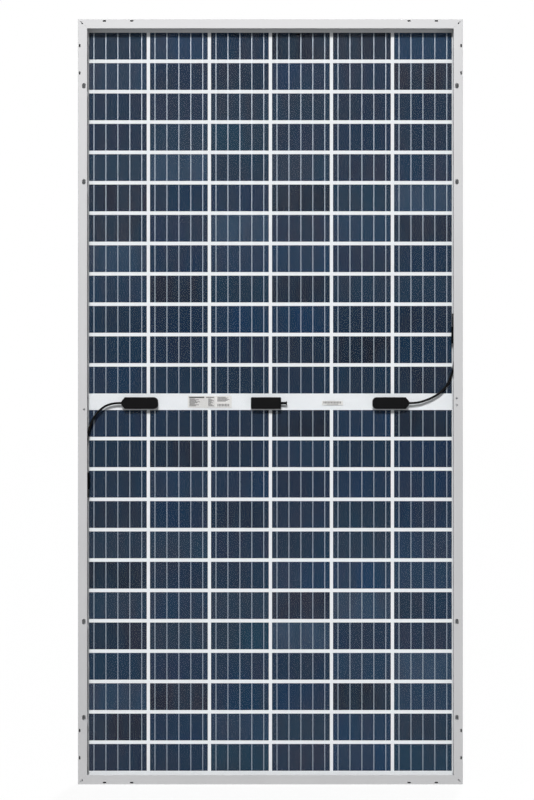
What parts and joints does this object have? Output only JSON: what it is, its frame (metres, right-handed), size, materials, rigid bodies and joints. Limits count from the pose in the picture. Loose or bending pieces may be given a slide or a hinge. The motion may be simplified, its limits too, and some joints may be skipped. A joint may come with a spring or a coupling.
{
  "type": "solar panel",
  "caption": "Framed double-glass solar module seen from its rear, with half cells in a white grid, three junction boxes and two leads.",
  "frame": {"origin": "centre of the module's outer box", "axes": "+X to the right seen from behind, +Y out of the sunny front glass, +Z along the long side; the rear faces -Y"},
  "size_m": [1.002, 0.03, 1.992],
  "materials": {
    "silicon_cell": "satin",
    "tinned_ribbon": "satin tinned",
    "tinned_bus": "satin tinned",
    "front_glass": "clear, lightly textured",
    "rear_glass": "clear",
    "encapsulant": "clear",
    "white_ceramic_print": "white print",
    "label_film": "satin film",
    "anodised_aluminium": "matt silver anodised",
    "key_aluminium": "mill finish",
    "frame_silicone": "white silicone",
    "box_plastic": "matt moulded black",
    "lid_plastic": "matt moulded black",
    "terminal_copper": "tinned copper",
    "diode_epoxy": "moulded epoxy",
    "potting_silicone": "soft silicone gel",
    "box_adhesive": "white silicone",
    "seal_rubber": "matt",
    "connector_plastic": "matt moulded black",
    "contact_metal": "tin plated",
    "plug_plastic": "matt",
    "lead_jacket": "matt cross-linked jacket"
  },
  "bodies": {
    "module": {"blanking_plug": "plug_plastic", "bottom_bus_ribbons": "tinned_bus", "cells_column_1": "silicon_cell", "cells_column_2": "silicon_cell", "cells_column_3": "silicon_cell", "cells_column_4": "silicon_cell", "cells_column_5": "silicon_cell", "cells_column_6": "silicon_cell", "corner_keys": "key_aluminium", "edge_sealant": "frame_silicone", "frame_bottom": "anodised_aluminium", "frame_left": "anodised_aluminium", "frame_right": "anodised_aluminium", "frame_top": "anodised_aluminium", "front_encapsulant": "encapsulant", "front_glass": "front_glass", "lead_tabs": "tinned_bus", "left_box_adhesive": "box_adhesive", "left_box_base": "box_plastic", "left_box_diode": "diode_epoxy", "left_box_potting": "potting_silicone", "left_box_terminals": "terminal_copper", "left_connector_contact": "contact_metal", "left_connector_housing": "connector_plastic", "left_connector_nut": "connector_plastic", "left_connector_seal": "seal_rubber", "left_lead": "lead_jacket", "left_lead_grommet": "seal_rubber", "lower_ribbons": "tinned_ribbon", "middle_box_adhesive": "box_adhesive", "middle_box_base": "box_plastic", "middle_box_diode": "diode_epoxy", "middle_box_potting": "potting_silicone", "middle_box_terminals": "terminal_copper", "middle_bus_ribbons": "tinned_bus", "printed_grid": "white_ceramic_print", "rating_label": "label_film", "rear_encapsulant": "encapsulant", "rear_glass": "rear_glass", "right_box_adhesive": "box_adhesive", "right_box_base": "box_plastic", "right_box_diode": "diode_epoxy", "right_box_potting": "potting_silicone", "right_box_terminals": "terminal_copper", "right_connector_contact": "contact_metal", "right_connector_housing": "connector_plastic", "right_connector_nut": "connector_plastic", "right_connector_seal": "seal_rubber", "right_lead": "lead_jacket", "right_lead_grommet": "seal_rubber", "serial_label": "label_film", "top_bus_ribbons": "tinned_bus", "upper_ribbons": "tinned_ribbon"},
    "left_lid": {"left_box_lid": "lid_plastic"},
    "middle_lid": {"middle_box_lid": "lid_plastic"},
    "right_lid": {"right_box_lid": "lid_plastic"}
  },
  "joints": [
    {"name": "left_lid_release", "type": "slide", "parent": "module", "child": "left_lid", "axis": [0, -1, 0], "range_m": [0, 0.04]},
    {"name": "middle_lid_release", "type": "slide", "parent": "module", "child": "middle_lid", "axis": [0, -1, 0], "range_m": [0, 0.04]},
    {"name": "right_lid_release", "type": "slide", "parent": "module", "child": "right_lid", "axis": [0, -1, 0], "range_m": [0, 0.04]}
  ]
}
